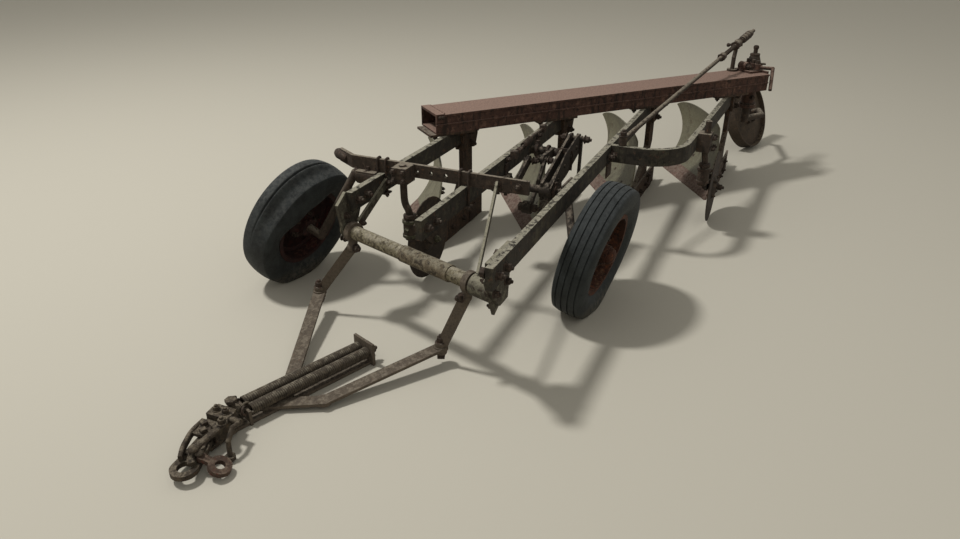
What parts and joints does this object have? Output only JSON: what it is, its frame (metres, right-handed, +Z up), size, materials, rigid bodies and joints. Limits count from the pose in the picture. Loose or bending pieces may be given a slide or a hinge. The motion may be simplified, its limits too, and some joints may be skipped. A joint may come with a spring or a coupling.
{
  "type": "trailing mouldboard plough",
  "caption": "Right-handed trailing plough with a diagonal box beam over its bottoms, leaning crank-axle wheels, rolling coulters and a spring-release hitch resting on the ground.",
  "frame": {"origin": "under the middle of the bounding box, on the ground", "axes": "+X is the direction of travel, +Y the land side (left), +Z up"},
  "size_m": [4.7052, 2.0406, 0.8986],
  "materials": {
    "beam_paint": "old dark olive paint with lichen on top",
    "red_paint": "weathered dull red-brown paint",
    "board_steel": "earth-polished steel gone dull",
    "share_steel": "light brown rust",
    "tyre_rubber": "perished dark rubber",
    "rim_rust": "red rust",
    "muddy_paint": "mottled tan paint and dry mud",
    "dark_iron": "dark rusty iron",
    "rust_steel": "dull brown rust"
  },
  "bodies": {
    "frame": {"beam_a": "beam_paint", "beam_b": "beam_paint", "beam_c": "beam_paint", "beam_d": "beam_paint", "overhead_beam": "red_paint", "standard_castings": "rust_steel", "standard_1": "rust_steel", "standard_2": "rust_steel", "standard_3": "rust_steel", "standard_4": "rust_steel", "mouldboard_1": "board_steel", "mouldboard_2": "board_steel", "mouldboard_3": "board_steel", "mouldboard_4": "board_steel", "share_1": "share_steel", "share_2": "share_steel", "share_3": "share_steel", "share_4": "share_steel", "landside_1": "rust_steel", "landside_2": "rust_steel", "landside_3": "rust_steel", "landside_4": "rust_steel", "cross_bar": "rust_steel", "front_tube": "muddy_paint", "front_brackets": "rust_steel", "struts": "rust_steel", "crank_bearings": "rust_steel", "lift_shaft": "rust_steel", "coulter_clamps": "rust_steel", "coulter_shanks": "rust_steel", "adjusting_screw": "rust_steel", "rear_column": "red_paint"},
    "furrow_crank": {"furrow_crank": "rust_steel"},
    "furrow_wheel": {"furrow_rim": "rim_rust", "furrow_tyre": "tyre_rubber"},
    "land_crank": {"land_crank": "rust_steel", "lift_lever": "rust_steel"},
    "land_wheel": {"land_rim": "rim_rust", "land_tyre": "tyre_rubber"},
    "rear_arm": {"rear_axle_arm": "rust_steel"},
    "rear_wheel": {"rear_wheel": "dark_iron"},
    "front_coulter": {"coulter_yoke_1": "rust_steel"},
    "front_disc": {"coulter_disc_1": "dark_iron"},
    "rear_coulter": {"coulter_yoke_4": "rust_steel"},
    "rear_disc": {"coulter_disc_4": "dark_iron"},
    "drawbar": {"drawbar": "rust_steel", "draft_bar": "rust_steel", "release_springs": "rust_steel"},
    "hitch_head": {"hitch_head": "rust_steel", "hitch_loop": "rust_steel", "eye_link": "rust_steel", "latch_lever": "rust_steel"}
  },
  "joints": [
    {"name": "furrow_crank_lift", "type": "hinge", "parent": "frame", "child": "furrow_crank", "pos_m": [0.9025, -0.5113, 0.545], "axis": [0, 1, 0], "range_deg": [-16, 14]},
    {"name": "furrow_wheel_spin", "type": "hinge", "parent": "furrow_crank", "child": "furrow_wheel", "pos_m": [0.9935, -0.8573, 0.288], "axis": [0.107, 0.9394, -0.3256], "continuous": true},
    {"name": "land_crank_lift", "type": "hinge", "parent": "frame", "child": "land_crank", "pos_m": [0.4955, -0.0313, 0.44], "axis": [0, 1, 0], "range_deg": [-16, 14]},
    {"name": "land_wheel_spin", "type": "hinge", "parent": "land_crank", "child": "land_wheel", "pos_m": [0.7175, 0.5137, 0.288], "axis": [0.0853, 0.9744, -0.2079], "continuous": true},
    {"name": "rear_caster", "type": "hinge", "parent": "frame", "child": "rear_arm", "pos_m": [-1.54439, 0.8736, 0.6], "axis": [0, 0, 1], "range_deg": [-20, 12]},
    {"name": "rear_wheel_spin", "type": "hinge", "parent": "rear_arm", "child": "rear_wheel", "pos_m": [-2.10239, 0.8366, 0.24792], "axis": [0.2904, 0.8937, 0.342], "continuous": true},
    {"name": "front_coulter_swivel", "type": "hinge", "parent": "frame", "child": "front_coulter", "pos_m": [0.9525, -0.2823, 0.345], "axis": [0, 0, 1], "range_deg": [-20, 20]},
    {"name": "front_coulter_spin", "type": "hinge", "parent": "front_coulter", "child": "front_disc", "pos_m": [0.7275, -0.3163, 0.2], "axis": [0, 1, 0], "continuous": true},
    {"name": "rear_coulter_swivel", "type": "hinge", "parent": "frame", "child": "rear_coulter", "pos_m": [-0.2995, 0.8007, 0.345], "axis": [0, 0, 1], "range_deg": [-20, 20]},
    {"name": "rear_coulter_spin", "type": "hinge", "parent": "rear_coulter", "child": "rear_disc", "pos_m": [-0.5545, 0.8347, 0.2], "axis": [0, 1, 0], "continuous": true},
    {"name": "drawbar_pitch", "type": "hinge", "parent": "frame", "child": "drawbar", "pos_m": [1.18, -0.4693, 0.4], "axis": [-0.304, -0.9527, 0], "range_deg": [0, 30]},
    {"name": "hitch_head_swing", "type": "hinge", "parent": "drawbar", "child": "hitch_head", "pos_m": [2.03515, -0.40074, 0.04], "axis": [0, 0, 1], "range_deg": [-40, 20]}
  ]
}
